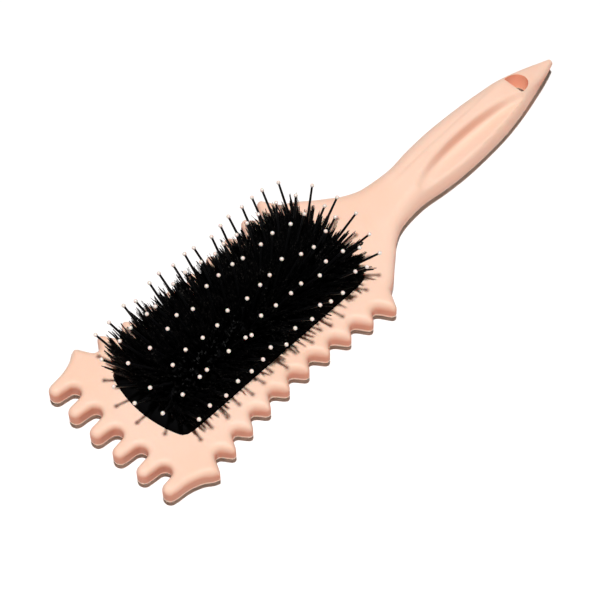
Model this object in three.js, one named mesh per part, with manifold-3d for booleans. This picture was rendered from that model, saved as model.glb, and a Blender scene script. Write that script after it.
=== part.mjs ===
// A flat styling brush: prongs at the free end, teeth along the sides, a domed rubber cushion
// with ball-tipped pins and bristles, and a leaf-shaped handle with a hanging hole.
// Millimetres, +X towards the handle's tip, +Z up through the pins, the back on z = 0.
import * as THREE from 'three';
import { mergeVertices } from 'three/addons/utils/BufferGeometryUtils.js';
import Module from 'manifold-3d';

const wasm = await Module();
wasm.setup();

// driving dimensions: lengths run along x from the prong tips
const brushLength = 250;
const plateLow = 2.8;
const plateTop = 10.5;
const plateChamfer = 0.8;
const seamHeight = 4;
const fitGap = 0.3;
const overrun = 5;

// prongs at the free end
const prongPitch = 12;
const prongRadius = 2.8;
const prongTipRecess = [0, 0.5, 1.8];
const notchRadius = 2.8;
const notchRootX = [9.1, 10, 10.5];
const prongArcSteps = 6;
const notchArcSteps = 4;

// teeth along each side
const earX = 21.2;
const toothPitch = 10.65;
const toothCount = 10;
const toothSteps = 6;
const toothSharpness = 1.2;
const waistX = 72;
const waistHalfWidth = 32.2;
const earHalfWidth = 39;
const lastToothHalfWidth = 36.8;
const waistToothDepth = 4.7;
const earToothDepth = 6.1;
const lastToothDepth = 5.2;

// plan curves of the head beyond its teeth: from the neck, and down to the outer prong
const shoulderCurve = [[149.3, 11.1], [142.1, 14.3], [137.2, 18.1], [132.4, 21.9], [127.5, 26],
  [122.3, 29.2]];
const shoulderSteps = 9;
const flankCurve = [[19, 37.8], [15.8, 35.4], [10.8, 33.7], [5.4, 33.1]];
const flankSteps = 4;

// handle: its widths are the plan curve's points, from the head to the tip
const handlePlan = [[126, 27.1], [132.4, 21.9], [137.2, 18.1], [142.1, 14.3], [149.3, 11.1], [162, 9.9],
  [186.6, 11.7], [211.7, 10.3], [235, 5.7], [250, 0.9]];
const handleTop = 15;
const handleTopRise = [128, 176];
const handleLow = 0.5;
const handleLowDrop = [140, 180];
const tipTop = 9.2;
const tipTopFall = [214, 250];
const tipLow = 6.8;
const tipLowRise = [205, 250];
const tipEase = 1.5;
const headCorner = 0.5;
const handleCorner = 0.8;
const handleRounding = [128, 165];
const handleWall = 2.6;
const handleStations = 20;
const handleSides = 16;
const hollowRoof = 2.6;
const hollowStart = 0.3;
const hollowEnd = 0.76;

// hanging hole and thumb scoop
const holeChordX = 225.2;
const holeEndX = 232.9;
const holeHalfWidth = 4.8;
const holeCorner = 1.2;
const scoopCentre = [194.5, -5, 16.4];
const scoopHalfLength = 31;
const scoopHalfWidth = 5.4;
const scoopHalfDepth = 5.2;
const scoopTilt = THREE.MathUtils.degToRad(-12);

// rubber cushion, whose ends are bowed by endBow in plan
const cushionX = 71;
const cushionHalfLength = 51.9;
const cushionHalfWidth = 19.8;
const cushionEndBow = 4.2;
const cushionSquareness = 14;
const cushionHeight = 8;
const cushionWall = 1.4;
const crownPower = 2.4;
const crownRoundness = 0.625;
const crownSteps = [0, 0.3, 0.5, 0.66, 0.8, 0.9, 0.96];
const hollowShare = 0.95;
const footReach = 0.985;
const footHeight = 1.2;
const skinThickness = 2.2;
const flangeWidth = 3;
const flangeThickness = 1;
const pocketMargin = 4;
const retainerThickness = 2.5;
const retainerInner = -2.5;
const retainerOuter = 3.5;
const sideSegments = 6;
const outlineSegments = 4 * sideSegments;

// back cover: a plain plate let into the head, which the brush lies on
const coverStartX = 14.2;
const coverEndX = 128;
const coverHalfWidth = 25;
const coverCorner = 8;
const coverShoulder = 6;
const coverNeck = [[149, 8.4], [146, 8.4], [140, 13]];
const coverCornerSteps = 5;
const restPadDepth = 3.5;
const restPadChamfer = 1;

// pins and bristles
const pinColumns = 16;
const pinPitch = 5.6;
const pinRows = [-12.4, -7.8, -2.8, 2.8, 7.8, 12.4];
const pinLength = 21.6;
const pinRootRadius = 0.6;
const pinTopRadius = 0.4;
const ballRadius = 1.05;
const ballRings = [-24, 37];
const pinSides = 6;
const stripWidth = 1.8;
const stripThickness = 1;
const stripHalfLength = 14.1;
const stripSamples = 6;
const layerThickness = 0.8;
const layerSteps = [0, 0.3, 0.5, 0.66, 0.8, 0.93];
const acrossFan = THREE.MathUtils.degToRad(41);
const alongFan = THREE.MathUtils.degToRad(49);
const alongCurl = 0.44;
const cornerEase = 0.62;
const bristleLength = 13;
const bristleRadius = 0.45;
const bristleLineOffset = 0.9;
const bristleRowPitch = 2.4;
const bristleRows = 13;
const bristleReach = 0.93;
const bristleSides = 3;
const bristleSlices = [0, 4, 8, 12, 15];

const everywhere = 400;

const peach = 0xfdd2b8;
const rubberBlack = 0x0b0b0c;
const pinBlack = 0x141416;
const bristleBlack = 0x070708;

const brush = new THREE.Group();
brush.position.x = -brushLength / 2;

function material(color, roughness) {
  return new THREE.MeshStandardMaterial({ color, roughness, metalness: 0 });
}

// three.js geometry to a solid and back
function solidOf(geometry) {
  let bare = geometry.clone();
  bare.deleteAttribute('normal');
  bare.deleteAttribute('uv');
  bare = mergeVertices(bare, 1e-4);
  return new wasm.Manifold(new wasm.Mesh({
    numProp: 3,
    vertProperties: new Float32Array(bare.attributes.position.array),
    triVerts: new Uint32Array(bare.index.array),
  }));
}

function addPart(name, solid, color, roughness) {
  const mesh = solid.getMesh();
  const geometry = new THREE.BufferGeometry();
  geometry.setAttribute('position', new THREE.BufferAttribute(mesh.vertProperties, 3));
  geometry.setIndex(new THREE.BufferAttribute(mesh.triVerts, 1));
  geometry.computeVertexNormals();
  const part = new THREE.Mesh(geometry, material(color, roughness));
  part.name = name;
  brush.add(part);
}

function boxSolid(low, high) {
  const size = high.map((value, i) => value - low[i]);
  const geometry = new THREE.BoxGeometry(...size);
  geometry.translate(...low.map((value, i) => value + size[i] / 2));
  return solidOf(geometry);
}

function prismSolid(shape, low, high, chamfer = 0) {
  const geometry = new THREE.ExtrudeGeometry(shape, {
    depth: high - low - 2 * chamfer,
    bevelEnabled: chamfer > 0,
    bevelThickness: chamfer,
    bevelSize: chamfer,
    bevelOffset: -chamfer,
    bevelSegments: 1,
    curveSegments: 6,
  });
  geometry.translate(0, 0, low + chamfer);
  return solidOf(geometry);
}

const lerp = THREE.MathUtils.lerp;
const smoothstep = THREE.MathUtils.smoothstep;

function arcPoints(x, y, radius, startDegrees, endDegrees, steps) {
  const points = [];
  for (let i = 0; i <= steps; i++) {
    const angle = THREE.MathUtils.degToRad(lerp(startDegrees, endDegrees, i / steps));
    points.push(new THREE.Vector2(x + radius * Math.cos(angle), y + radius * Math.sin(angle)));
  }
  return points;
}

function splinePoints(places, steps) {
  return new THREE.SplineCurve(places.map(([x, y]) => new THREE.Vector2(x, y))).getPoints(steps);
}

// from 0 at the waist to 1 at the ear or at the last tooth
function flare(x) {
  const reach = x < waistX ? waistX - earX : earX + toothPitch * (toothCount - 1) - waistX;
  return ((x - waistX) / reach) ** 2;
}

// half width of the toothed side: narrow rounded teeth with round gaps between them
function toothedHalfWidth(x) {
  const endWidth = x < waistX ? earHalfWidth : lastToothHalfWidth;
  const endDepth = x < waistX ? earToothDepth : lastToothDepth;
  const wave = 0.5 + 0.5 * Math.cos(2 * Math.PI * (x - earX) / toothPitch);
  const depth = lerp(waistToothDepth, endDepth, flare(x));
  return lerp(waistHalfWidth, endWidth, flare(x)) - depth * (1 - wave ** toothSharpness);
}

// the +y half of the head's outline, from the neck to the middle gap between the prongs
function headHalfOutline() {
  const shoulder = splinePoints(shoulderCurve, shoulderSteps);
  const teeth = [];
  for (let i = toothSteps * (toothCount - 1) + 1; i >= 0; i--) {
    const x = earX + toothPitch * i / toothSteps;
    teeth.push(new THREE.Vector2(x, toothedHalfWidth(x)));
  }
  const flank = splinePoints(flankCurve, flankSteps);
  const prongs = [];
  for (let k = prongTipRecess.length - 1; k >= 0; k--) {
    const tipX = prongTipRecess[k] + prongRadius;
    const notchX = notchRootX[k] - notchRadius;
    const notch = arcPoints(notchX, prongPitch * k, notchRadius, 90, -90, notchArcSteps);
    prongs.push(...arcPoints(tipX, prongPitch * (k + 0.5), prongRadius, 90, 270, prongArcSteps));
    prongs.push(...(k === 0 ? notch.slice(0, notchArcSteps / 2 + 1) : notch));
  }
  return [...shoulder, ...teeth, ...flank, ...prongs];
}

function headShape() {
  const half = headHalfOutline();
  const mirrored = half.slice(0, -1).reverse().map((point) => new THREE.Vector2(point.x, -point.y));
  return new THREE.Shape([...half, ...mirrored]);
}

function handleTopAt(x) {
  const raised = lerp(plateTop, handleTop, smoothstep(x, ...handleTopRise));
  return lerp(raised, tipTop, smoothstep(x, ...tipTopFall) ** tipEase);
}

function handleLowAt(x) {
  const lowered = lerp(plateLow, handleLow, smoothstep(x, ...handleLowDrop));
  return lerp(lowered, tipLow, smoothstep(x, ...tipLowRise) ** tipEase);
}

// a closed tube along x: each ring is a rounded box that narrows and thickens with the plan
// curve, of which the tube takes the stretch between two shares of its length; the tube lies
// inside the handle by wall all round, and by roof more at the top
function handleTube(wall, roof, startShare, endShare) {
  const plan = new THREE.SplineCurve(handlePlan.map(([x, y]) => new THREE.Vector2(x, y)));
  const geometry = new THREE.CylinderGeometry(1, 1, 1, handleSides, handleStations);
  const position = geometry.attributes.position;
  for (let i = 0; i < position.count; i++) {
    const share = lerp(startShare, endShare, position.getY(i) + 0.5);
    const station = plan.getPoint(share);
    const corner = lerp(headCorner, handleCorner, smoothstep(station.x, ...handleRounding));
    const across = position.getX(i);
    const up = -position.getZ(i);
    const roofHeight = handleTopAt(station.x) - roof;
    const halfHeight = (roofHeight - handleLowAt(station.x)) / 2 - wall;
    const middle = (roofHeight + handleLowAt(station.x)) / 2;
    const y = Math.sign(across) * Math.abs(across) ** corner * (station.y - wall);
    const z = middle + Math.sign(up) * Math.abs(up) ** corner * halfHeight;
    position.setXYZ(i, station.x, y, z);
  }
  return solidOf(geometry);
}

// a D with its straight side towards the head
function hangingHole() {
  const shape = new THREE.Shape();
  const startX = holeChordX + holeCorner;
  const cornerY = holeHalfWidth - holeCorner;
  shape.absellipse(startX, 0, holeEndX - startX, holeHalfWidth, -Math.PI / 2, Math.PI / 2);
  shape.absarc(startX, cornerY, holeCorner, Math.PI / 2, Math.PI);
  shape.absarc(startX, -cornerY, holeCorner, Math.PI, 1.5 * Math.PI);
  return prismSolid(shape, -overrun, handleTop + overrun);
}

function thumbScoop() {
  const geometry = new THREE.SphereGeometry(1, 20, 12);
  geometry.scale(scoopHalfLength, scoopHalfWidth, scoopHalfDepth);
  geometry.rotateX(scoopTilt);
  geometry.translate(...scoopCentre);
  return solidOf(geometry);
}

// a point of the cushion's outline, scaled by reach and moved out by margin: the segments go
// round a square of -1 to 1, closer together at its corners, which is then rounded and bowed
function cushionOutlinePoint(segment, reach, margin) {
  const quarter = Math.floor(segment / sideSegments);
  const way = 2 * (segment % sideSegments + 0.5) / sideSegments - 1;
  const slide = Math.sin(way * Math.PI / 2);
  const [u, v] = [[1, slide], [-slide, 1], [-1, -slide], [slide, -1]][quarter];
  const length = superNorm(u, v);
  const across = v / length;
  const halfLength = (cushionHalfLength - cushionEndBow * (across * reach) ** 2) * reach + margin;
  return new THREE.Vector2(cushionX + u / length * halfLength, across * (cushionHalfWidth * reach + margin));
}

function superNorm(u, v) {
  return (Math.abs(u) ** cushionSquareness + Math.abs(v) ** cushionSquareness) ** (1 / cushionSquareness);
}

function cushionShape(margin) {
  const points = [];
  for (let i = 0; i < outlineSegments; i++) {
    points.push(cushionOutlinePoint(i, 1, margin));
  }
  return new THREE.Shape(points);
}

// height of the rubber crown above the plate, by share of the way out to the foot
function crownHeight(reach) {
  return cushionHeight * Math.max(0, 1 - reach ** crownPower) ** crownRoundness;
}

function reachAt(x, y) {
  const across = y / cushionHalfWidth;
  const along = (x - cushionX) / (cushionHalfLength - cushionEndBow * across ** 2);
  return superNorm(along, across);
}

function crownTopAt(x, y) {
  return plateTop + crownHeight(reachAt(x, y));
}

// a lathe whose rings are bent from circles to the cushion's outline; a profile point holds
// its reach, its margin and its height, and the points run up the outside
function cushionLathe(profile) {
  const rings = profile.map(([reach], i) => new THREE.Vector2(reach, i));
  const geometry = new THREE.LatheGeometry(rings, outlineSegments);
  const position = geometry.attributes.position;
  for (let i = 0; i < position.count; i++) {
    const [reach, margin, height] = profile[i % profile.length];
    const segment = Math.floor(i / profile.length) % outlineSegments;
    const point = cushionOutlinePoint(segment, reach, margin);
    const onAxis = reach === 0;
    position.setXYZ(i, onAxis ? cushionX : point.x, onAxis ? 0 : point.y, height);
  }
  return solidOf(geometry);
}

function cushionSolid() {
  const flangeTop = plateTop - skinThickness - fitGap;
  const flangeLow = flangeTop - flangeThickness;
  const outer = crownSteps.map((reach) => [reach, 0, plateTop + crownHeight(reach)]);
  const inner = crownSteps.slice(0, -1).map((reach) => {
    return [reach * hollowShare, 0, plateTop + crownHeight(reach) - cushionWall];
  });
  return cushionLathe([
    ...inner,
    [footReach, -cushionWall, plateTop],
    [footReach, -cushionWall, flangeLow],
    [1, flangeWidth, flangeLow],
    [1, flangeWidth, flangeTop],
    [footReach, 0, flangeTop],
    [footReach, 0, plateTop + footHeight],
    ...outer.reverse(),
  ]);
}

// a thin layer of the crown, which the bristles root in
function crownLayer() {
  const low = layerSteps.map((reach) => [reach, 0, plateTop + crownHeight(reach) + fitGap]);
  const top = low.map(([reach, margin, height]) => [reach, margin, height + layerThickness]);
  return cushionLathe([...low, ...top.reverse()]);
}

function columnX(column) {
  return cushionX + pinPitch * (column - (pinColumns - 1) / 2);
}

// pins and bristles fan out from the crown: across the head by y, and along it by x, less so
// at the sides
function fanDirection(x, y) {
  const u = (x - cushionX) / (columnX(pinColumns - 1) - cushionX);
  const v = THREE.MathUtils.clamp(y / pinRows.at(-1), -1, 1);
  const along = alongFan * u * (1 + alongCurl * (u * u - 1)) * (1 - cornerEase * v * v);
  return new THREE.Vector3(Math.tan(along), Math.tan(acrossFan * v), 1).normalize();
}

// turns a geometry that stands on the origin along +Y so that it leans with the fan at its root
function planted(geometry, root) {
  const turn = new THREE.Quaternion();
  turn.setFromUnitVectors(new THREE.Vector3(0, 1, 0), fanDirection(root.x, root.y));
  geometry.applyQuaternion(turn);
  geometry.translate(root.x, root.y, root.z);
  return solidOf(geometry);
}

// a tapered shaft with a ball at its tip
function pinSolid(x, y, rootHeight) {
  const profile = [
    new THREE.Vector2(0, 0),
    new THREE.Vector2(pinRootRadius, 0),
    new THREE.Vector2(pinTopRadius, pinLength - ballRadius),
  ];
  for (const degrees of ballRings) {
    const angle = THREE.MathUtils.degToRad(degrees);
    const height = pinLength + ballRadius * Math.sin(angle);
    profile.push(new THREE.Vector2(ballRadius * Math.cos(angle), height));
  }
  profile.push(new THREE.Vector2(0, pinLength + ballRadius));
  return planted(new THREE.LatheGeometry(profile, pinSides), new THREE.Vector3(x, y, rootHeight));
}

function stripLowAt(x, y) {
  const ends = [x - stripWidth / 2, x + stripWidth / 2];
  return Math.max(...ends.map((end) => crownTopAt(end, y))) + fitGap;
}

// one row of pins across the head, held by the thin strip that roots them
function pinRowSolid(column) {
  const x = columnX(column);
  const low = [];
  const high = [];
  for (let i = 0; i <= stripSamples; i++) {
    const y = lerp(-stripHalfLength, stripHalfLength, i / stripSamples);
    low.push(new THREE.Vector2(y, stripLowAt(x, y)));
    high.push(new THREE.Vector2(y, stripLowAt(x, y) + stripThickness));
  }
  const strip = new THREE.ExtrudeGeometry(new THREE.Shape([...low, ...high.reverse()]), {
    depth: stripWidth,
    bevelEnabled: false,
  });
  strip.rotateX(Math.PI / 2);
  strip.rotateZ(Math.PI / 2);
  strip.translate(x - stripWidth / 2, 0, 0);
  let row = solidOf(strip);
  for (const y of pinRows) {
    row = row.add(pinSolid(x, y, stripLowAt(x, y) + stripThickness / 2));
  }
  return row;
}

function bristleSolid(x, y) {
  const root = new THREE.Vector3(x, y, crownTopAt(x, y) + fitGap + layerThickness / 2);
  const strand = new THREE.ConeGeometry(bristleRadius, bristleLength, bristleSides, 1);
  strand.translate(0, bristleLength / 2, 0);
  return planted(strand, root);
}

// the bristles between a stretch of pin rows, fused to a comb-shaped slice of the crown layer:
// the slots let the strips of the pin rows through, and the far edge joins the comb's teeth
function bristleSliceSolid(layer, firstColumn, lastColumn) {
  const clear = stripWidth / 2 + fitGap;
  const low = [columnX(firstColumn) + clear, -everywhere, 0];
  const high = [columnX(lastColumn) - clear, everywhere, everywhere];
  let slice = layer.intersect(boxSolid(low, high));
  for (let column = firstColumn + 1; column < lastColumn; column++) {
    const slotLow = [columnX(column) - clear, -everywhere, 0];
    const slotHigh = [columnX(column) + clear, stripHalfLength + fitGap, everywhere];
    slice = slice.subtract(boxSolid(slotLow, slotHigh));
  }
  for (let column = firstColumn; column < lastColumn; column++) {
    for (const side of [-1, 1]) {
      const x = columnX(column + 0.5) + side * bristleLineOffset;
      for (let row = 0; row < bristleRows; row++) {
        const y = (row - (bristleRows - 1) / 2) * bristleRowPitch;
        if (reachAt(x, y) < bristleReach) {
          slice = slice.add(bristleSolid(x, y));
        }
      }
    }
  }
  return slice;
}

// plan of the back cover, inside the notches on the head and out past the sides on the handle
function coverShape(margin) {
  const width = coverHalfWidth + margin;
  const startX = coverStartX - margin;
  const seamX = coverNeck[0][0] - margin;
  const outside = [[brushLength + overrun, width], [seamX, width]];
  const neck = coverNeck.map(([x, y]) => [Math.min(x, seamX), y + margin]);
  const half = [
    ...[...outside, ...neck].map(([x, y]) => new THREE.Vector2(x, y)),
    ...arcPoints(coverEndX - coverShoulder, width - coverShoulder, coverShoulder, 45, 90, 2),
    ...arcPoints(startX + coverCorner, width - coverCorner, coverCorner, 90, 180, coverCornerSteps),
  ];
  const mirrored = half.slice().reverse().map((point) => new THREE.Vector2(point.x, -point.y));
  return new THREE.Shape([...half, ...mirrored]);
}

function restPadShape() {
  const pad = new THREE.Shape();
  const endX = coverEndX - coverCorner;
  const startX = coverStartX + coverCorner;
  const y = coverHalfWidth - fitGap / 2 - coverCorner;
  pad.absarc(endX, y, coverCorner, 0, Math.PI / 2);
  pad.absarc(startX, y, coverCorner, Math.PI / 2, Math.PI);
  pad.absarc(startX, -y, coverCorner, Math.PI, 1.5 * Math.PI);
  pad.absarc(endX, -y, coverCorner, 1.5 * Math.PI, 2 * Math.PI);
  return pad;
}

// the whole shell before it is parted along the seam
function shellSolid() {
  const plate = prismSolid(headShape(), plateLow, plateTop, plateChamfer);
  return plate.add(handleTube(0, 0, 0, 1))
    .subtract(handleTube(handleWall, hollowRoof, hollowStart, hollowEnd))
    .subtract(hangingHole())
    .subtract(thumbScoop());
}

function frontShellSolid(shell) {
  const pocket = prismSolid(cushionShape(pocketMargin), -overrun, plateTop - skinThickness);
  const opening = prismSolid(cushionShape(fitGap), 0, plateTop + overrun);
  const recess = prismSolid(coverShape(fitGap / 2), -overrun, seamHeight + fitGap / 2);
  return shell.subtract(recess).subtract(pocket).subtract(opening);
}

function backShellSolid(shell) {
  const cover = prismSolid(coverShape(-fitGap / 2), -overrun, seamHeight - fitGap / 2);
  const restPad = prismSolid(restPadShape(), 0, restPadDepth, restPadChamfer);
  return shell.intersect(cover).add(restPad);
}

// the frame that clamps the cushion's flange from below
function retainerSolid() {
  const shape = cushionShape(retainerOuter);
  shape.holes.push(cushionShape(retainerInner));
  const low = seamHeight + fitGap / 2;
  return prismSolid(shape, low, low + retainerThickness);
}

const shell = shellSolid();
addPart('front_shell', frontShellSolid(shell), peach, 0.42);
addPart('back_shell', backShellSolid(shell), peach, 0.42);
addPart('cushion', cushionSolid(), rubberBlack, 0.7);
addPart('cushion_retainer', retainerSolid(), pinBlack, 0.5);

for (let column = 0; column < pinColumns; column++) {
  const number = String(column + 1).padStart(2, '0');
  addPart(`pin_row_${number}`, pinRowSolid(column), pinBlack, 0.35);
}

const layer = crownLayer();
for (let i = 1; i < bristleSlices.length; i++) {
  const slice = bristleSliceSolid(layer, bristleSlices[i - 1], bristleSlices[i]);
  addPart(`bristles_${i}`, slice, bristleBlack, 0.5);
}

export default brush;
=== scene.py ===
import math
import random

import bmesh
import bpy
from mathutils import Matrix, Quaternion, Vector
from mathutils.bvhtree import BVHTree


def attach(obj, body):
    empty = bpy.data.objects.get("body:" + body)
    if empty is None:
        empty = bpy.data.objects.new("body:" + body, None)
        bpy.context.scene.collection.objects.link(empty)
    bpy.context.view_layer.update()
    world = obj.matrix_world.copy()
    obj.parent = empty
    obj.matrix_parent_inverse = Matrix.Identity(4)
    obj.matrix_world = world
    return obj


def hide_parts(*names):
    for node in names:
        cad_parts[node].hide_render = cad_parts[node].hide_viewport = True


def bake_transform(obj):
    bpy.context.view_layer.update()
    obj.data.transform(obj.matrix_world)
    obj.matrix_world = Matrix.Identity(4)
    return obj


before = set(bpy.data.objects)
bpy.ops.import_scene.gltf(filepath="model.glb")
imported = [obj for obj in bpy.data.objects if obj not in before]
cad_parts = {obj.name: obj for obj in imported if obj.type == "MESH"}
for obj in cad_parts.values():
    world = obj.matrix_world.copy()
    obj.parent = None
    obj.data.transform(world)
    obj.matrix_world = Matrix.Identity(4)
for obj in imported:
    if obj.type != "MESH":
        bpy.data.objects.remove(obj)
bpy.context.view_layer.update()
print("frame loaded")

# pieces are made in millimetres, with x counted from the prong tips, then moved into the frame
mm = 0.001
brush = {
    "length": 250,
    "plateTop": 10.5,
    "plateLow": 2.8,
    "seam": 4.0,
    "gap": 0.3,
    "cutLow": -5,    # cutters reach from below the brush to above it
    "cutHigh": 25,
}


def between(a, b, share):
    return a + (b - a) * share


def smoothStep(start, end, value):
    t = min(max((value - start) / (end - start), 0), 1)
    return t * t * (3 - 2 * t)


def curveThrough(places, steps):  # a smooth plan curve through a few points
    points = [Vector(p) for p in (places[0], *places, places[-1])]
    curve = []
    for a, b, c, d in zip(points, points[1:], points[2:], points[3:]):
        for j in range(steps):
            t = j / steps
            curve.append(0.5 * (2 * b + (c - a) * t + (2 * a - 5 * b + 4 * c - d) * t * t
                                + (3 * b - a - 3 * c + d) * t ** 3))
    return [*curve, points[-1]]


def arc(x, y, radius, start, end, steps):
    angles = [math.radians(between(start, end, i / steps)) for i in range(steps + 1)]
    return [Vector((x + radius * math.cos(a), y + radius * math.sin(a))) for a in angles]


def bothSides(half):  # the +y half of a plan with its mirror image, as one closed outline
    return [*half, *(Vector((p.x, -p.y)) for p in reversed(half) if p.y > 1e-6)]


def vertsOf(geometry):
    return [g for g in geometry if isinstance(g, bmesh.types.BMVert)]


def prism(outline, low, high):
    bm = bmesh.new()
    face = bm.faces.new([bm.verts.new((p.x, p.y, low)) for p in outline])
    grown = bmesh.ops.extrude_face_region(bm, geom=[face])["geom"]
    bmesh.ops.translate(bm, vec=(0, 0, high - low), verts=vertsOf(grown))
    bmesh.ops.recalc_face_normals(bm, faces=bm.faces)
    return bm


def workObject(bm):
    mesh = bpy.data.meshes.new("work")
    bm.to_mesh(mesh)
    bm.free()
    worker = bpy.data.objects.new("work", mesh)
    bpy.context.collection.objects.link(worker)
    return worker


def modified(bm, *steps):  # a bmesh after modifiers, each a kind and its settings
    worker = workObject(bm)
    for kind, settings in steps:
        modifier = worker.modifiers.new(kind, kind)
        for name, value in settings.items():
            setattr(modifier, name, value)
    depsgraph = bpy.context.evaluated_depsgraph_get()
    made = bpy.data.meshes.new_from_object(worker.evaluated_get(depsgraph))
    result = bmesh.new()
    result.from_mesh(made)
    bpy.data.meshes.remove(made)
    bpy.data.objects.remove(worker)
    return result


def combined(bm, operation, tool):  # join, cut or keep the overlap with another bmesh
    cutter = workObject(tool)
    result = modified(bm, ("BOOLEAN", {"operation": operation, "object": cutter, "solver": "MANIFOLD"}))
    bpy.data.objects.remove(cutter)
    return result


def finishPiece(name, bm, finishes, nodes, body=None, sharpAngle=40):  # no body: it is left unattached
    intoFrame = Matrix.Translation((-brush["length"] / 2 * mm, 0, 0)) @ Matrix.Scale(mm, 4)
    bmesh.ops.transform(bm, matrix=intoFrame, verts=bm.verts)
    mesh = bpy.data.meshes.new(name)
    bm.to_mesh(mesh)
    bm.free()
    mesh.shade_smooth()
    mesh.set_sharp_from_angle(angle=math.radians(sharpAngle))
    for finish in finishes:
        mesh.materials.append(finish)
    piece = bpy.data.objects.new(name, mesh)
    bpy.context.collection.objects.link(piece)
    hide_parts(*nodes)
    if body:
        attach(piece, body)
    print("made", name, len(mesh.polygons), "faces")
    return piece


class Wire:  # a socket whose sums and products are written as arithmetic
    def __init__(self, finish, socket):
        self.finish = finish
        self.socket = socket

    def math(self, operation, first, second):
        return self.finish.node("ShaderNodeMath", {"operation": operation}, {0: first, 1: second})

    def __add__(self, other):
        return self.math("ADD", self, other)

    def __sub__(self, other):
        return self.math("SUBTRACT", self, other)

    def __rsub__(self, other):
        return self.math("SUBTRACT", other, self)

    def __mul__(self, other):
        return self.math("MULTIPLY", self, other)

    def __abs__(self):
        return self.math("ABSOLUTE", self, 0)

    __radd__ = __add__
    __rmul__ = __mul__

    def swing(self, amount):  # a noise's change, to both sides of its middle
        return (self - 0.5) * amount


class Finish:  # one material, built from nodes around a Principled shader
    def __init__(self, name):
        self.material = bpy.data.materials.new(name)
        self.material.use_nodes = True
        self.tree = self.material.node_tree
        self.place = self.node("ShaderNodeTexCoord", {}, {}, "Object")

    def node(self, kind, settings, sockets, output=0):
        made = self.tree.nodes.new(kind)
        for name, value in settings.items():
            setattr(made, name, value)
        for socket, value in sockets.items():
            self.feed(made.inputs[socket], value)
        return Wire(self, made.outputs[output])

    def feed(self, socket, value):
        if isinstance(value, Wire):
            self.tree.links.new(value.socket, socket)
        else:
            socket.default_value = value

    def noise(self, scale, detail=2, roughness=0.5):
        sockets = {"Vector": self.place, "Scale": scale, "Detail": detail, "Roughness": roughness}
        return self.node("ShaderNodeTexNoise", {}, sockets)

    def colours(self, share, first, second):  # a Mix node's colours are inputs 6 and 7 and output 2
        ends = [colour if isinstance(colour, Wire) else (*colour, 1) for colour in (first, second)]
        return self.node("ShaderNodeMix", {"data_type": "RGBA"}, {"Factor": share, 6: ends[0], 7: ends[1]}, 2)

    def part(self, vector, axis):
        return self.node("ShaderNodeSeparateXYZ", {}, {"Vector": vector}, axis)

    def ramp(self, value, edges):  # 0 below the first edge, 1 above the second
        return self.node("ShaderNodeMapRange", {"interpolation_type": "SMOOTHSTEP"},
                         {"Value": value, "From Min": edges[0], "From Max": edges[1]})

    def bump(self, height, strength, distance):
        return self.node("ShaderNodeBump", {}, {"Height": height, "Strength": strength, "Distance": distance})

    def wear(self, sockets):
        for name, value in sockets.items():
            self.feed(self.tree.nodes["Principled BSDF"].inputs[name], value)
        return self.material


# in the finishes lengths are metres, a noise is its scale, detail and roughness, and a bump its
# strength and distance
shellFinish = {
    "colour": (0.805, 0.550, 0.432),
    "shade": (0.780, 0.520, 0.395),
    "side": (0.695, 0.285, 0.182),   # painted shade: side walls get a deeper, pinker tone, for the little light that reaches them
    "shadedSlope": (0.02, 0.70),       # from a wall to a top, by how far the face looks up or down
    # painted light: a lighter tone on the handle's sides, where their rounding turns away from the light
    "handleSide": (0.860, 0.500, 0.370),
    "handleX": (0.005, 0.03),        # where the painted lighter tone of the handle's sides starts, along the brush
    "handleY": (0.0045, 0.007),      # and out from its middle
    "rim": (0.98, 0.68, 0.52),       # painted highlight: a pale line along the foot of the head's walls, as if bounced light caught the lower edge
    "highlightStart": (0.0034, 0.0037),
    "highlightEnd": (0.0042, 0.0046),
    "mottle": (26, 3),
    "mottleEdges": (0.35, 0.65),
    "grain": (2600, 2),
    "scuffs": (190, 4, 0.65),
    "scuffEdges": (0.62, 0.74),
    "roughness": 0.50,
    "mottleRough": 0.1,
    "scuffShine": 0.05,
    "grainRough": 0.06,
    "bump": (0.10, 0.0002),
    "mottleBump": 0.4,               # beside the grain's
    "specular": 0.28,
    "subsurface": 0.3,
    "subsurfaceScale": 0.002,
    "subsurfaceRadius": (1.0, 0.35, 0.22),
    "paintedGlow": 0,                       # painted glow, as if light came through a thin wall
}
# painted light: the hole's walls get a brighter side tone and a painted glow
holeLitFinish = {**shellFinish, "side": (0.95, 0.50, 0.34), "subsurface": 0.5, "paintedGlow": 0.1}


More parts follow.
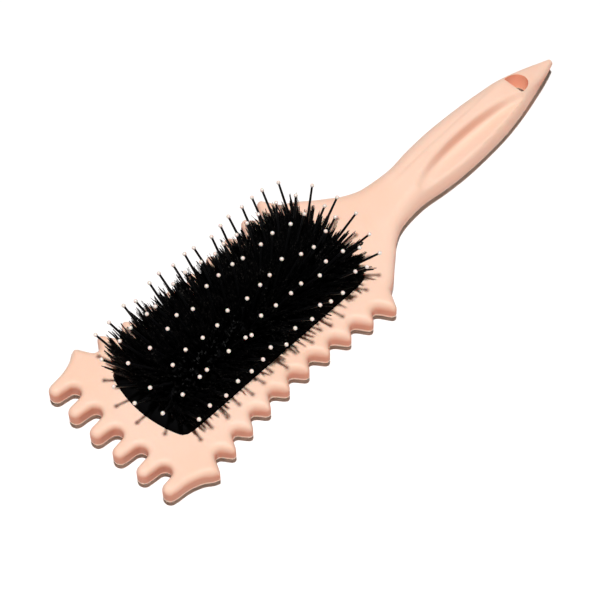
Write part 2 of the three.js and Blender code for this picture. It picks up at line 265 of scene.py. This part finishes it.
def makeShellFinish(name, settings):
    finish = Finish(name)
    mottle = finish.noise(*settings["mottle"])
    grain = finish.noise(*settings["grain"])
    scuffs = finish.ramp(finish.noise(*settings["scuffs"]), settings["scuffEdges"])
    normal = finish.node("ShaderNodeNewGeometry", {}, {}, "Normal")
    # painted shade: steep faces take the darker side tone
    steep = 1 - finish.ramp(abs(finish.part(normal, "Z")), settings["shadedSlope"])
    onHandle = finish.ramp(finish.part(finish.place, "X"), settings["handleX"])
    # painted light: the handle's sides, out from its middle, get the lighter tone
    litHandleSides = finish.ramp(abs(finish.part(finish.place, "Y")), settings["handleY"])
    height = finish.part(finish.place, "Z")
    # painted highlight: the band of height where the pale line goes
    foot = finish.ramp(height, settings["highlightStart"]) * (1 - finish.ramp(height, settings["highlightEnd"]))
    top = finish.colours(finish.ramp(mottle, settings["mottleEdges"]), settings["shade"], settings["colour"])
    # painted shade on the head's walls, with a painted highlight along their foot
    headWallShadeAndHighlight = finish.colours(foot * (1 - onHandle), settings["side"], settings["rim"])
    wall = finish.colours(onHandle * litHandleSides, headWallShadeAndHighlight, settings["handleSide"])
    roughness = (settings["roughness"] + mottle.swing(settings["mottleRough"])
                 - scuffs * settings["scuffShine"] + grain.swing(settings["grainRough"]))
    return finish.wear({
        "Base Color": finish.colours(steep, top, wall),
        "Roughness": roughness,
        "Normal": finish.bump(grain + mottle * settings["mottleBump"], *settings["bump"]),
        "Specular IOR Level": settings["specular"],
        "Subsurface Weight": settings["subsurface"],
        "Subsurface Scale": settings["subsurfaceScale"],
        "Subsurface Radius": settings["subsurfaceRadius"],
        # the painted glow takes the side tone
        "Emission Color": (*settings["side"], 1),
        "Emission Strength": settings["paintedGlow"],
    })


rubberFinish = {
    "colour": (0.0010, 0.0010, 0.0012),
    "dust": (0.0030, 0.0029, 0.0029),
    "grain": (1500, 3),
    "grainEdges": (0.45, 0.7),
    "cloud": (60, 4, 0.6),
    "cloudEdges": (0.5, 0.75),
    "roughness": 0.65,
    "cloudRough": 0.2,
    "dustRough": 0.15,
    "bump": (0.2, 0.0002),
    "specular": 0.03,
}
retainerFinish = {**rubberFinish, "roughness": 0.4, "grain": (2200, 3)}


def makeRubberFinish(name, settings):
    finish = Finish(name)
    grain = finish.noise(*settings["grain"])
    cloud = finish.noise(*settings["cloud"])
    dust = finish.ramp(cloud, settings["cloudEdges"]) * finish.ramp(grain, settings["grainEdges"])
    roughness = settings["roughness"] + cloud.swing(settings["cloudRough"]) + dust * settings["dustRough"]
    return finish.wear({
        "Base Color": finish.colours(dust, settings["colour"], settings["dust"]),
        "Roughness": roughness,
        "Normal": finish.bump(grain, *settings["bump"]),
        "Specular IOR Level": settings["specular"],
    })


pinFinish = {
    "colour": (0.0015, 0.0015, 0.0017),
    "streakColour": (0.006, 0.006, 0.0065),
    "streak": (900, 2),
    "roughness": 0.3,
    "streakRough": 0.15,
    "bump": (0.08, 0.0001),
    "specular": 0.2,
}


def makePinFinish(name, settings):
    finish = Finish(name)
    streak = finish.noise(*settings["streak"])
    return finish.wear({
        "Base Color": finish.colours(streak, settings["colour"], settings["streakColour"]),
        "Roughness": settings["roughness"] + streak.swing(settings["streakRough"]),
        "Normal": finish.bump(streak, *settings["bump"]),
        "Specular IOR Level": settings["specular"],
    })


tipFinish = {
    "colour": (0.84, 0.74, 0.68),
    "shade": (0.70, 0.58, 0.51),
    "cloud": (700, 2),
    "roughness": 0.22,
    "cloudRough": 0.1,
    "specular": 0.6,
    "subsurface": 0.25,
    "subsurfaceScale": 0.0006,
    "coat": 0.5,
    "coatRoughness": 0.08,
}


def makeTipFinish(name, settings):
    finish = Finish(name)
    cloud = finish.noise(*settings["cloud"])
    return finish.wear({
        "Base Color": finish.colours(cloud, settings["shade"], settings["colour"]),
        "Roughness": settings["roughness"] + cloud.swing(settings["cloudRough"]),
        "Specular IOR Level": settings["specular"],
        "Subsurface Weight": settings["subsurface"],
        "Subsurface Scale": settings["subsurfaceScale"],
        "Coat Weight": settings["coat"],
        "Coat Roughness": settings["coatRoughness"],
    })


bristleFinish = {
    "colour": (0.0012, 0.0012, 0.0014),
    # painted sheen: grey flecks in the black strands stand in for glints
    "sheenGrey": (0.06, 0.055, 0.05),
    "strand": (1400, 2),
    "strandEdges": (0.58, 0.70),
    "patch": (90, 3),
    "patchEdges": (0.45, 0.62),
    "spread": 0.25,                  # how strong the painted sheen flecks are outside the patches
    "roughness": 0.38,
    "strandRough": 0.3,
    "specular": 0.08,
}


def makeBristleFinish(name, settings):
    finish = Finish(name)
    strand = finish.noise(*settings["strand"])
    patch = finish.ramp(finish.noise(*settings["patch"]), settings["patchEdges"])
    spread = settings["spread"]
    # where the painted sheen flecks go
    pale = finish.ramp(strand, settings["strandEdges"]) * (spread + patch * (1 - spread))
    return finish.wear({
        "Base Color": finish.colours(pale, settings["colour"], settings["sheenGrey"]),
        "Roughness": settings["roughness"] + strand.swing(settings["strandRough"]),
        "Specular IOR Level": settings["specular"],
    })


shellPlastic = makeShellFinish("shellPlastic", shellFinish)
holeLitPlastic = makeShellFinish("holeLitPlastic", holeLitFinish)
cushionRubber = makeRubberFinish("cushionRubber", rubberFinish)
retainerPlastic = makeRubberFinish("retainerPlastic", retainerFinish)
pinNylon = makePinFinish("pinNylon", pinFinish)
tipResin = makeTipFinish("tipResin", tipFinish)
bristleNylon = makeBristleFinish("bristleNylon", bristleFinish)
print("finishes made")


# the shell has one outline for head and handle, rounded over and cut for what it holds
head = {
    "prongPitch": 12.0,
    "prongRadius": 2.8,
    "prongRecess": (0, 0.5, 1.8),       # from the middle prongs outwards
    "gapRadius": 2.8,
    "gapRoot": (9.1, 10.0, 10.5),       # from the middle gap outwards
    "flank": ((19.0, 37.6), (15.8, 35.3), (10.8, 33.6), (5.4, 33.0)),
    "earX": 21.2,
    "toothPitch": 10.65,
    "toothCount": 10,
    "sharpness": 1.1,
    "toothStep": 0.35,                  # between the outline's points
    "lastTooth": 1.6,                   # the teeth's curve ends this far past the last peak
    "waistX": 72,
    "halfWidths": (38.7, 31.9, 36.5),   # at the ear, the waist and the last tooth
    "depths": (6.1, 4.7, 5.2),
    "flankSteps": 8,
    "arcSteps": 16,                     # in a half turn
}
handle = {
    "plan": ((122.3, 29.2), (127.5, 26.0), (132.4, 21.9), (137.2, 18.1), (142.1, 14.3), (149.3, 11.1),
             (162.0, 9.9), (174.5, 11.1), (186.6, 11.7), (199.6, 11.3), (211.7, 10.3), (223.8, 8.3),
             (235.0, 5.7), (243.0, 3.5), (249.0, 1.41)),
    "planSteps": 16,
    "tipRadius": 1.5,
    "tipTurn": 60,           # in degrees, from the point to the plan's end
    "tipSteps": 8,
    "top": 15.0,
    "topRise": (128, 176),   # from the plate's top to the handle's, between these x
    "low": 0.5,
    "lowFall": (140, 180),
    "tipTop": 9.6,
    "tipFall": (214, 250),
    "tipLow": 6.4,
    "tipRise": (205, 250),
    "tipPower": 1.5,
}
rounding = {
    "prongTop": 2.3,
    "toothTop": 3.3,
    "toothX": (14, 22),      # from the prongs' rounding to the teeth's
    "plateLow": 0.7,
    "handleX": (120, 166),   # from the plate's rounding to the handle's
    "handleShare": 0.58,     # of the handle's half width
    "topShare": 0.52,        # of the handle's thickness
    "lowShare": 0.34,
    "crease": 0.35,
    "holeEdge": 0.8,
}
shaping = {                  # the plan's slab is remeshed, and its points are moved to their heights
    "slabHeight": 10,
    "voxel": 0.55,
    "slack": (0.3, 0.8),     # in voxels: nearer than this a point goes back onto the outline
    "slackX": (240, 247),    # from the first slack to the second
    "smoothings": 3,
    "smoothing": 0.4,
    "holeWall": 0.2,         # faces this near to the hole have its finish
    "holeSlope": 0.6,        # unless they look up or down more than this
}
scoop = {                    # the hollow in the handle's top
    "start": 162.5,
    "end": 226.5,
    "edge": -3.8,            # its far edge, at both ends
    "bow": 4.5,              # and how much further out it is between them
    "bowPower": 0.8,
    "wall": 2.8,             # the width of its steep far side
    "floor": 0.5,            # the least width of the rest
    "depth": 5.6,
    "rim": 1.6,              # what it leaves of the handle's near side
}
ridge = {                    # a faint step along the far side of the handle's top
    "start": 152,
    "end": 224,
    "fadeIn": (0, 0.2),      # in shares of its length
    "fadeOut": (1, 0.85),
    "startY": 1.8,
    "endY": 4.3,
    "width": 0.7,
    "drop": 0.6,
}
hole = {
    "chord": 225.4,
    "end": 233.2,
    "halfWidth": 4.8,
    "corner": 1.2,
    "bowSteps": 20,
    "cornerSteps": 5,
}
lastToothX = head["earX"] + head["toothPitch"] * (head["toothCount"] - 1)
handleSide = curveThrough(handle["plan"], handle["planSteps"])


def toothedHalfWidth(x):
    end, endX = (0, head["earX"]) if x < head["waistX"] else (2, lastToothX)
    flare = ((x - head["waistX"]) / (endX - head["waistX"])) ** 2
    wave = 0.5 + 0.5 * math.cos(2 * math.pi * (x - head["earX"]) / head["toothPitch"])
    depth = between(head["depths"][1], head["depths"][end], flare)
    width = between(head["halfWidths"][1], head["halfWidths"][end], flare)
    return width - depth * (1 - wave ** head["sharpness"])


def shellOutline():
    tipX = brush["length"] - handle["tipRadius"]
    tip = arc(tipX, 0, handle["tipRadius"], 0, handle["tipTurn"], handle["tipSteps"])
    teethEnd = lastToothX + head["lastTooth"]
    stepCount = int((teethEnd - head["earX"]) / head["toothStep"])
    teethX = [teethEnd - i * head["toothStep"] for i in range(stepCount + 1)]
    teeth = [Vector((x, toothedHalfWidth(x))) for x in teethX]
    flank = curveThrough(head["flank"], head["flankSteps"])
    prongs = []
    for k in (2, 1, 0):
        prongX = head["prongRecess"][k] + head["prongRadius"]
        prongs += arc(prongX, head["prongPitch"] * (k + 0.5), head["prongRadius"], 90, 270, head["arcSteps"])
        gapX = head["gapRoot"][k] - head["gapRadius"]
        parts = 1 if k == 0 else 2   # the middle gap's other quarter turn is its mirror image
        prongs += arc(gapX, head["prongPitch"] * k, head["gapRadius"], 90, 90 - 90 * parts,
                      head["arcSteps"] // 2 * parts)
    return bothSides([*tip, *reversed(handleSide), *teeth, *flank, *prongs])


def holeOutline():
    startX = hole["chord"] + hole["corner"]
    cornerY = hole["halfWidth"] - hole["corner"]
    bow = [Vector((startX + p.x * (hole["end"] - startX), p.y * hole["halfWidth"]))
           for p in arc(0, 0, 1, -90, 90, hole["bowSteps"])]
    return [*bow, *arc(startX, cornerY, hole["corner"], 90, 180, hole["cornerSteps"]),
            *arc(startX, -cornerY, hole["corner"], 180, 270, hole["cornerSteps"])]


def wallOf(outline, height=120):  # tall upright walls on an outline, for distances to it
    bm = bmesh.new()
    verts = [bm.verts.new((p.x, p.y, -height / 2)) for p in outline]
    edges = [bm.edges.new((verts[i - 1], verts[i])) for i in range(len(verts))]
    grown = bmesh.ops.extrude_edge_only(bm, edges=edges)["geom"]
    bmesh.ops.translate(bm, vec=(0, 0, height), verts=vertsOf(grown))
    tree = BVHTree.FromBMesh(bm)
    bm.free()
    return tree


def handleHalfWidth(x):
    for a, b in zip(handleSide, handleSide[1:]):
        if a.x <= x <= b.x:
            return between(a.y, b.y, (x - a.x) / max(b.x - a.x, 1e-9))
    return handle["plan"][0][1] if x < handle["plan"][0][0] else handle["plan"][-1][1]


def shellTop(x):
    raised = between(brush["plateTop"], handle["top"], smoothStep(*handle["topRise"], x))
    return between(raised, handle["tipTop"], smoothStep(*handle["tipFall"], x) ** handle["tipPower"])


def shellLow(x):
    lowered = between(brush["plateLow"], handle["low"], smoothStep(*handle["lowFall"], x))
    return between(lowered, handle["tipLow"], smoothStep(*handle["tipRise"], x) ** handle["tipPower"])


def roundedDrop(distance, width, height):  # how far a rounded edge lies below the face, this far in
    s = max(1 - distance / width, 0)
    return height * (1 - math.sqrt(1 - s * s))


def scoopDrop(x, y, halfWidth):
    along = (2 * x - scoop["start"] - scoop["end"]) / (scoop["end"] - scoop["start"])
    bow = max(1 - along * along, 0)
    below = scoop["edge"] + scoop["bow"] * bow - y
    if bow == 0 or below <= 0:
        return 0
    floorWidth = scoop["edge"] + scoop["bow"] * bow + halfWidth - scoop["rim"] - scoop["wall"]
    across = min(max((below - scoop["wall"]) / max(floorWidth, scoop["floor"]), 0), 1)
    depth = scoop["depth"] * bow ** scoop["bowPower"]
    return depth * smoothStep(0, scoop["wall"], below) * (1 - across * across)


def ridgeDrop(x, y):
    along = (x - ridge["start"]) / (ridge["end"] - ridge["start"])
    line = between(ridge["startY"], ridge["endY"], min(max(along, 0), 1))
    fade = smoothStep(*ridge["fadeIn"], along) * smoothStep(*ridge["fadeOut"], along)
    return ridge["drop"] * fade * smoothStep(line, line + ridge["width"], y)


def shellHeights(x, y, distance, holeDistance):  # the underside and top, this far in from the walls
    halfWidth = handleHalfWidth(x)
    top, low = shellTop(x), shellLow(x)
    onHandle = smoothStep(*rounding["handleX"], x)
    plateRound = between(rounding["prongTop"], rounding["toothTop"], smoothStep(*rounding["toothX"], x))
    handleRound = rounding["handleShare"] * halfWidth
    topWidth = between(plateRound, handleRound, onHandle)
    topHeight = between(plateRound, rounding["topShare"] * (top - low), onHandle)
    lowWidth = between(rounding["plateLow"], handleRound, onHandle)
    lowHeight = between(rounding["plateLow"], rounding["lowShare"] * (top - low), onHandle)
    crease = onHandle * rounding["crease"] * max(1 - distance / topWidth, 0)
    holeDrop = roundedDrop(holeDistance, rounding["holeEdge"], rounding["holeEdge"])
    drop = max(roundedDrop(distance, topWidth, topHeight) + crease, holeDrop)
    rise = max(roundedDrop(distance, lowWidth, lowHeight), holeDrop)
    return low + rise, top - drop - scoopDrop(x, y, halfWidth) - ridgeDrop(x, y)


def distanceTo(wall, place):  # in plan
    return wall.find_nearest(Vector((place.x, place.y, 0)))[3]


def makeShellBody():
    outline = shellOutline()
    remesh = ("REMESH", {"mode": "VOXEL", "voxel_size": shaping["voxel"]})
    slab = modified(prism(outline, 0, shaping["slabHeight"]), remesh)
    outerWall, holeWall = wallOf(outline), wallOf(holeOutline())
    for vert in slab.verts:
        share = min(max(vert.co.z / shaping["slabHeight"], 0), 1)
        nearest, _, _, distance = outerWall.find_nearest(Vector((vert.co.x, vert.co.y, 0)))
        slack = shaping["voxel"] * between(*shaping["slack"], smoothStep(*shaping["slackX"], vert.co.x))
        if distance < slack:
            vert.co.x, vert.co.y, distance = nearest.x, nearest.y, 0
        heights = shellHeights(vert.co.x, vert.co.y, distance, distanceTo(holeWall, vert.co))
        vert.co.z = between(*heights, share)
    for _ in range(shaping["smoothings"]):
        bmesh.ops.smooth_vert(slab, verts=slab.verts, factor=shaping["smoothing"],
                              use_axis_x=True, use_axis_y=True, use_axis_z=True)
    body = combined(slab, "DIFFERENCE", prism(holeOutline(), brush["cutLow"], brush["cutHigh"]))
    for face in body.faces:
        near = distanceTo(holeWall, face.calc_center_median()) < shaping["holeWall"]
        face.material_index = int(near and abs(face.normal.z) < shaping["holeSlope"])
    return body


# the cushion's plan and crown are what the pins and bristles stand on
cushion = {
    "x": 71,
    "halfLength": 51.9,
    "halfWidth": 19.8,
    "endBow": 4.2,          # how much further the ends reach at their middle
    "squareness": 22,
    "outlineSteps": 12,     # in half a side
    "height": 8.0,
    "crownPower": 2.4,
    "crownRoundness": 0.625,
    "skin": 2.2,
    "flangeWidth": 3.0,
    "flangeThickness": 1.0,
    "pocketMargin": 4.0,
    "opening": (0, 20),     # the heights that the plate's opening is cut between
    "grid": (120, 48),
    "ringPower": 1.4,       # closer rings towards the foot
    "foot": 2.6,            # the height over which it turns from the shell's body to the pins'
}


def rounded(along, across):  # 1 on a rectangle with rounded corners
    n = cushion["squareness"]
    return (abs(along) ** n + abs(across) ** n) ** (1 / n)


def cushionPlace(u, v, margin=0):  # from a square of -1 to 1 to the cushion's rounded plan
    reach = max(abs(u), abs(v))
    if reach == 0:
        return Vector((cushion["x"], 0))
    along, across = u * reach / rounded(u, v), v * reach / rounded(u, v)
    return Vector((cushion["x"] + along * (cushion["halfLength"] - cushion["endBow"] * across ** 2 + margin),
                   across * (cushion["halfWidth"] + margin)))


def cushionOutline(margin):
    steps = cushion["outlineSteps"]
    side = [i / steps for i in range(-steps, steps)]
    square = [(t, -1) for t in side] + [(1, t) for t in side]
    square += [(-t, 1) for t in side] + [(-1, -t) for t in side]
    return [cushionPlace(u, v, margin) for u, v in square]


def crownTop(x, y):
    across = y / cushion["halfWidth"]
    along = (x - cushion["x"]) / (cushion["halfLength"] - cushion["endBow"] * across ** 2)
    fall = rounded(along, across) ** cushion["crownPower"]
    return brush["plateTop"] + cushion["height"] * max(0, 1 - fall) ** cushion["crownRoundness"]


cover = {
    "startX": 14.2,
    "endX": 128,
    "halfWidth": 25,
    "corner": 8,
    "cornerSteps": 16,
    "shoulder": 6,
    "shoulderSteps": 6,
    "neck": ((149, 8.4), (146, 8.4), (140, 13)),
    "pastTip": 5,
    "padDepth": 3.5,
    "padEdge": 1.0,
    "padEdgeSteps": 4,
}
halfGap = brush["gap"] / 2


def coverCorner(x, width, start):  # a quarter turn, with its centre at x
    return arc(x, width - cover["corner"], cover["corner"], start, start + 90, cover["cornerSteps"])


def coverOutline(margin):
    width = cover["halfWidth"] + margin
    seamX = cover["neck"][0][0] - margin
    shoulder = cover["shoulder"]
    half = [Vector((brush["length"] + cover["pastTip"], width)), Vector((seamX, width)),
            *(Vector((min(x, seamX), y + margin)) for x, y in cover["neck"]),
            *arc(cover["endX"] - shoulder, width - shoulder, shoulder, 45, 90, cover["shoulderSteps"]),
            *coverCorner(cover["startX"] - margin + cover["corner"], width, 90)]
    return bothSides(half)


def restPad():
    width = cover["halfWidth"] - halfGap
    half = [*coverCorner(cover["endX"] - cover["corner"], width, 0),
            *coverCorner(cover["startX"] + cover["corner"], width, 90)]
    bm = prism(bothSides(half), 0, cover["padDepth"])
    rim = [e for e in bm.edges if all(v.co.z == 0 for v in e.verts)]
    bmesh.ops.bevel(bm, geom=rim, offset=cover["padEdge"], segments=cover["padEdgeSteps"], profile=0.5,
                    affect="EDGES", material=-1)
    return bm


shellBody = makeShellBody()
print("shell body shaped")
coverRecess = prism(coverOutline(halfGap), brush["cutLow"], brush["seam"] + halfGap)
pocketTop = brush["plateTop"] - cushion["skin"]
pocket = prism(cushionOutline(cushion["pocketMargin"]), brush["cutLow"], pocketTop)
opening = prism(cushionOutline(brush["gap"]), *cushion["opening"])
frontShell = shellBody.copy()
for cutter in (coverRecess, pocket, opening):
    frontShell = combined(frontShell, "DIFFERENCE", cutter)
finishPiece("frontShell", frontShell, [shellPlastic, holeLitPlastic], ["front_shell"], "body")

coverSlab = prism(coverOutline(-halfGap), brush["cutLow"], brush["seam"] - halfGap)
backShell = combined(combined(shellBody, "INTERSECT", coverSlab), "UNION", restPad())
finishPiece("backShell", backShell, [shellPlastic, holeLitPlastic], ["back_shell"], "body")

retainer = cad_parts["cushion_retainer"]
retainer.data.materials.clear()
retainer.data.materials.append(retainerPlastic)


def makeCushion():
    bm = bmesh.new()
    bmesh.ops.create_grid(bm, x_segments=cushion["grid"][0], y_segments=cushion["grid"][1], size=1)
    for vert in bm.verts:
        u, v = vert.co.x, vert.co.y
        reach = max(abs(u), abs(v), 1e-6)
        spread = (1 - (1 - reach) ** cushion["ringPower"]) / reach
        spot = cushionPlace(u * spread, v * spread)
        vert.co = (spot.x, spot.y, crownTop(spot.x, spot.y) if reach < 1 else brush["plateTop"])
    centre = Matrix.Translation((-cushion["x"], 0, 0))
    rim = [e for e in bm.edges if e.is_boundary]
    skirtDepth = cushion["skin"] + brush["gap"]
    for drop, widen in ((skirtDepth, 0), (0, cushion["flangeWidth"]), (cushion["flangeThickness"], 0)):
        grown = bmesh.ops.extrude_edge_only(bm, edges=rim)["geom"]
        verts = vertsOf(grown)
        rim = [g for g in grown if isinstance(g, bmesh.types.BMEdge) and g.is_boundary]
        bmesh.ops.translate(bm, vec=(0, 0, -drop), verts=verts)
        growth = ((cushion["halfLength"] + widen) / cushion["halfLength"],
                  (cushion["halfWidth"] + widen) / cushion["halfWidth"], 1)
        bmesh.ops.scale(bm, vec=growth, space=centre, verts=verts)
    bmesh.ops.contextual_create(bm, geom=rim)
    bmesh.ops.recalc_face_normals(bm, faces=bm.faces)
    return bm


cushionPiece = finishPiece("cushionDome", makeCushion(), [cushionRubber], ["cushion"],
                           sharpAngle=60)
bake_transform(cushionPiece)


pins = {
    "seed": 4,            # for the bristles too
    "columns": 16,
    "pitch": 5.6,
    "rows": (-12.4, -7.8, -2.8, 2.8, 7.8, 12.4),
    "length": 21.6,
    "rootRadius": 0.62,
    "topRadius": 0.42,
    "sides": 10,
    "ball": 0.80,
    "ballSides": (12, 8),
    "sink": 0.6,          # of the root in the cushion
    "alongFan": 49,       # how far the end pins lean, in degrees
    "alongCurl": 0.44,    # how much less the pins between them lean
    "cornerEase": 0.62,   # and the pins at the sides
    "acrossFan": 41,
    "wander": 2.6,        # in degrees
    "shift": 0.5,
}
bristles = {
    "kinds": 8,           # different tufts, one of them round each pin
    "locks": 18,
    "strands": 11,        # in each lock
    "tuftRadius": 2.3,
    "lockRadius": 0.42,
    "draw": 0.45,         # the width of a lock's end, as a share of its root's
    "length": (10.5, 15),
    "strandShare": (0.8, 1.05),   # of the lock's length
    "radius": 0.19,
    "tipShare": 0.5,      # of the radius
    "sides": 3,
    "sink": 0.5,
    "flare": 14,          # in degrees, as is the wander
    "wander": 4,
    "slices": (0, 4, 8, 12, 16),  # of the columns, one for each piece
    "borderY": 15.7,      # a border of shorter, upright tufts hides the rubber outside the pins
    "borderX": 44.9,
    "borderSize": (0.65, 0.65, 0.5),
    "farReach": 0.17,     # the tufts at the prong end's far side are combed out a little longer
    "farColumns": (9, 5),
    "farY": (3, 7),
    "lean": (0.68, 1.1),  # shares of the pins' lean, along and across
    "borderLean": (0.1, 0.38),
}


def columnX(column):
    return cushion["x"] + pins["pitch"] * (column - (pins["columns"] - 1) / 2)


def fanDirection(x, y):  # pins lean out to the ends and sides, and less along the brush near its sides
    u = min(max((x - cushion["x"]) / (columnX(pins["columns"] - 1) - cushion["x"]), -1), 1)
    v = min(max(y / pins["rows"][-1], -1), 1)
    curl = 1 + pins["alongCurl"] * (u * u - 1)
    along = math.radians(pins["alongFan"] * u * curl * (1 - pins["cornerEase"] * v * v))
    across = math.radians(pins["acrossFan"] * v)
    return Vector((math.tan(along), math.tan(across), 1)).normalized()


def towards(direction):  # turns +Z that way
    return direction.to_track_quat("Z", "Y").to_matrix().to_4x4()


def planted(x, y, sink, lean=(1, 1)):  # on the crown, with these shares of the fan's lean
    direction = fanDirection(x, y) * Vector((*lean, 1))
    return Matrix.Translation((x, y, crownTop(x, y) - sink)) @ towards(direction)


def pinPlaces(column, chance):
    shift = pins["shift"]
    for y in pins["rows"]:
        wander = [Matrix.Rotation(math.radians(chance.gauss(0, pins["wander"])), 4, axis) for axis in "XY"]
        x = columnX(column) + chance.uniform(-shift, shift)
        yield planted(x, y + chance.uniform(-shift, shift), pins["sink"]) @ wander[0] @ wander[1]


def makePinRow(places):  # the balls have the second finish
    bm = bmesh.new()
    middle = Matrix.Translation((0, 0, pins["length"] / 2))
    end = Matrix.Translation((0, 0, pins["length"]))
    for place in places:
        bmesh.ops.create_cone(bm, cap_ends=True, segments=pins["sides"], radius1=pins["rootRadius"],
                              radius2=pins["topRadius"], depth=pins["length"], matrix=place @ middle)
        ball = bmesh.ops.create_uvsphere(bm, u_segments=pins["ballSides"][0], v_segments=pins["ballSides"][1],
                                         radius=pins["ball"], matrix=place @ end)
        for face in {f for v in ball["verts"] for f in v.link_faces}:
            face.material_index = 1
    return bm


def makeTuft(chance):  # bristles round a pin at the origin, in locks that draw together at their ends
    bm = bmesh.new()
    lockRadius, draw = bristles["lockRadius"], bristles["draw"]
    for _ in range(bristles["locks"]):
        share = math.sqrt(chance.random())
        lean = math.radians(bristles["flare"] * share + chance.gauss(0, bristles["wander"]))
        lock = (Matrix.Rotation(chance.uniform(0, 2 * math.pi), 4, "Z")
                @ Matrix.Translation((bristles["tuftRadius"] * share, 0, 0)) @ Matrix.Rotation(lean, 4, "Y"))
        lockLength = chance.uniform(*bristles["length"])
        for _ in range(bristles["strands"]):
            length = lockLength * chance.uniform(*bristles["strandShare"])
            root = Vector((chance.gauss(0, lockRadius), chance.gauss(0, lockRadius), 0))
            tip = Vector((root.x * draw, root.y * draw, length))
            middle = Matrix.Translation((root + tip) / 2)
            bmesh.ops.create_cone(bm, cap_ends=True, segments=bristles["sides"], radius1=bristles["radius"],
                                  radius2=bristles["radius"] * bristles["tipShare"], depth=length,
                                  matrix=lock @ middle @ towards(tip - root))
    mesh = bpy.data.meshes.new("tuft")
    bm.to_mesh(mesh)
    bm.free()
    return mesh


def tuftPlaces(column):  # a tuft round each pin of a column, and the shorter ones beside them
    for y in pins["rows"]:
        far = smoothStep(*bristles["farColumns"], column) * smoothStep(*bristles["farY"], y)
        longer = Matrix.Diagonal((1, 1, 1 + bristles["farReach"] * far, 1))
        yield planted(columnX(column), y, bristles["sink"], bristles["lean"]) @ longer
    sides = (-bristles["borderY"], bristles["borderY"])
    border = [(columnX(column), y) for y in sides]
    end = {0: -1, pins["columns"] - 1: 1}.get(column)   # only the first and last column have one
    if end:
        border += [(cushion["x"] + end * bristles["borderX"], y) for y in (*pins["rows"], *sides)]
    small = Matrix.Diagonal((*bristles["borderSize"], 1))
    for x, y in border:
        yield planted(x, y, bristles["sink"], bristles["borderLean"]) @ small


def makeBristles(columns, tufts, chance):
    bm = bmesh.new()
    for place in [p for column in columns for p in tuftPlaces(column)]:
        known = len(bm.verts)
        bm.from_mesh(chance.choice(tufts))
        bm.verts.ensure_lookup_table()
        turned = place @ Matrix.Rotation(chance.uniform(0, 2 * math.pi), 4, "Z")
        bmesh.ops.transform(bm, matrix=turned, verts=bm.verts[known:])
    return bm


chance = random.Random(pins["seed"])
places = [list(pinPlaces(column, chance)) for column in range(pins["columns"])]
tufts = [makeTuft(chance) for _ in range(bristles["kinds"])]
for i, (first, last) in enumerate(zip(bristles["slices"], bristles["slices"][1:])):
    finishPiece(f"bristles{i + 1}", makeBristles(range(first, last), tufts, chance), [bristleNylon],
                [f"bristles_{i + 1}"], "pin_field")

for column, rowPlaces in enumerate(places):
    number = f"{column + 1:02d}"
    finishPiece("pinRow" + number, makePinRow(rowPlaces), [pinNylon, tipResin],
                ["pin_row_" + number], "pin_field")


floorFinish = {
    "colour": (0.85, 0.85, 0.85),
    "shade": (0.83, 0.83, 0.83),
    "cloud": (3, 2),
    "roughness": 0.8,
    "cloudRough": 0.1,
    "specular": 0.2,
}


def makeFloorFinish(name, settings):
    finish = Finish(name)
    cloud = finish.noise(*settings["cloud"])
    return finish.wear({
        "Base Color": finish.colours(cloud, settings["shade"], settings["colour"]),
        "Roughness": settings["roughness"] + cloud.swing(settings["cloudRough"]),
        "Specular IOR Level": settings["specular"],
    })


studio = {
    "floorReach": 3000,
    "target": (-25.6, -3.4, 0),
    "elevation": 56.3,
    "heading": 44.65,        # the way the camera looks, turned from +X
    "roll": -0.88,
    "distance": 879,
    "lens": 138,
    "keyHeight": 2400,
    "keyLean": 10,           # towards the camera, from straight up
    "keySize": 190,
    "keyPower": 74,
    "ambient": 0.06,
    "ambientColour": (1, 0.80, 0.64),
}


def makeStage():
    bm = bmesh.new()
    bmesh.ops.create_grid(bm, x_segments=1, y_segments=1, size=studio["floorReach"] * mm)
    mesh = bpy.data.meshes.new("floor")
    bm.to_mesh(mesh)
    bm.free()
    mesh.materials.append(makeFloorFinish("floorPaper", floorFinish))
    floor = bpy.data.objects.new("floor", mesh)
    bpy.context.collection.objects.link(floor)


def makeLight(name, place, target, size, power):
    light = bpy.data.lights.new(name, "AREA")
    light.shape = "DISK"
    light.size = size * mm
    light.energy = power
    lamp = bpy.data.objects.new(name, light)
    lamp.location = place
    lamp.rotation_euler = (target - place).to_track_quat("-Z", "Y").to_euler()
    bpy.context.collection.objects.link(lamp)


def makeStudio():
    heading, elevation = math.radians(studio["heading"]), math.radians(studio["elevation"])
    ahead = Vector((math.cos(heading), math.sin(heading), 0))
    target = Vector(studio["target"]) * mm
    look = ahead * math.cos(elevation) - Vector((0, 0, math.sin(elevation)))
    camera = bpy.data.objects.new("camera", bpy.data.cameras.new("camera"))
    camera.data.lens = studio["lens"]
    camera.location = target - look * studio["distance"] * mm
    roll = Quaternion((0, 0, 1), math.radians(studio["roll"]))
    camera.rotation_euler = (look.to_track_quat("-Z", "Y") @ roll).to_euler()
    bpy.context.collection.objects.link(camera)
    bpy.context.scene.camera = camera
    lean = math.tan(math.radians(studio["keyLean"]))
    keyPlace = target + (Vector((0, 0, 1)) - ahead * lean) * studio["keyHeight"] * mm
    makeLight("key", keyPlace, target, studio["keySize"], studio["keyPower"])
    world = bpy.data.worlds.new("studio")
    world.use_nodes = True
    background = world.node_tree.nodes["Background"]
    background.inputs["Color"].default_value = (*studio["ambientColour"], 1)
    background.inputs["Strength"].default_value = studio["ambient"]
    bpy.context.scene.world = world
    bpy.context.scene.view_settings.view_transform = "Standard"


makeStage()
makeStudio()
print("studio set")
